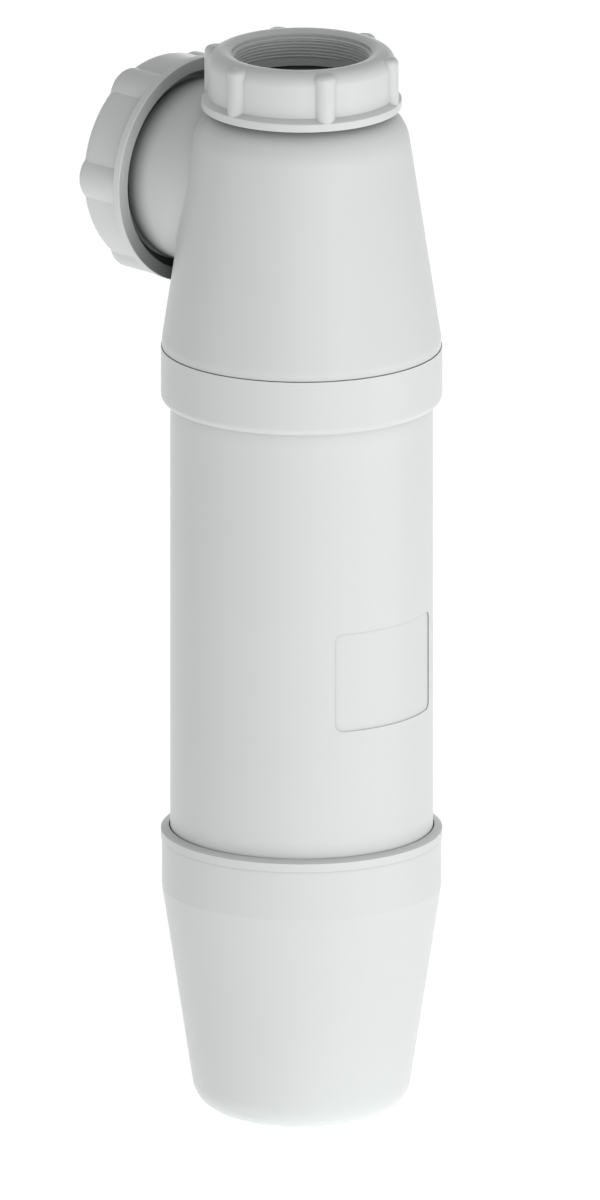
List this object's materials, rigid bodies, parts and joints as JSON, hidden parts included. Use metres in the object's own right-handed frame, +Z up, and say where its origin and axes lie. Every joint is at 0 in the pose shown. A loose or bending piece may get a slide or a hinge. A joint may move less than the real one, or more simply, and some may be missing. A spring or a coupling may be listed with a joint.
{
  "type": "condensate trap",
  "caption": "Tall bottle trap for condensate: tapered hood with a side outlet and a coupling nut, long tube, screw-off tapered cup and an inner dip tube.",
  "frame": {"origin": "centre of the cup's flat base, on the trap's vertical axis", "axes": "+Z up along the trap's axis towards the inlet nut, +Y out of the side outlet, and the bare label panel faces -Y"},
  "size_m": [0.0804, 0.0993, 0.3126],
  "materials": {
    "white_plastic": "satin moulded polypropylene",
    "black_rubber": "matt black rubber"
  },
  "bodies": {
    "head": {"trap_head": "white_plastic", "dip_tube": "white_plastic", "dip_tube_seal": "black_rubber", "inlet_gasket": "black_rubber"},
    "inlet_nut": {"inlet_nut": "white_plastic"},
    "outlet_seals": {"outlet_seal": "black_rubber", "outlet_slip_ring": "white_plastic"},
    "outlet_nut": {"outlet_nut": "white_plastic"},
    "body_gasket": {"body_gasket": "black_rubber"},
    "body": {"trap_body": "white_plastic"},
    "cup_gasket": {"cup_gasket": "black_rubber"},
    "cup": {"cup": "white_plastic"}
  },
  "joints": [
    {"name": "inlet_nut_turn", "type": "hinge", "parent": "head", "child": "inlet_nut", "pos_m": [0, 0, 0.304], "axis": [0, 0, 1], "continuous": true},
    {"name": "outlet_travel", "type": "slide", "parent": "head", "child": "outlet_seals", "axis": [0, 1, 0], "range_m": [0, 0.00924]},
    {"name": "outlet_nut_turn", "type": "hinge", "parent": "outlet_seals", "child": "outlet_nut", "pos_m": [0, 0.05, 0.2691], "axis": [0, 1, 0], "range_deg": [0, 1440]},
    {"name": "body_travel", "type": "slide", "parent": "head", "child": "body_gasket", "axis": [0, 0, -1], "range_m": [0, 0.01]},
    {"name": "body_turn", "type": "hinge", "parent": "body_gasket", "child": "body", "pos_m": [0, 0, 0.2135], "axis": [0, 0, -1], "range_deg": [0, 900]},
    {"name": "cup_travel", "type": "slide", "parent": "body", "child": "cup_gasket", "axis": [0, 0, -1], "range_m": [0, 0.01]},
    {"name": "cup_turn", "type": "hinge", "parent": "cup_gasket", "child": "cup", "pos_m": [0, 0, 0.0709], "axis": [0, 0, -1], "range_deg": [0, 900]}
  ],
  "couplings": [
    {"joint": "outlet_travel", "follows": "outlet_nut_turn", "m_per_rad": 0.00036749},
    {"joint": "body_travel", "follows": "body_turn", "m_per_rad": 0.00063662},
    {"joint": "cup_travel", "follows": "cup_turn", "m_per_rad": 0.00063662}
  ]
}
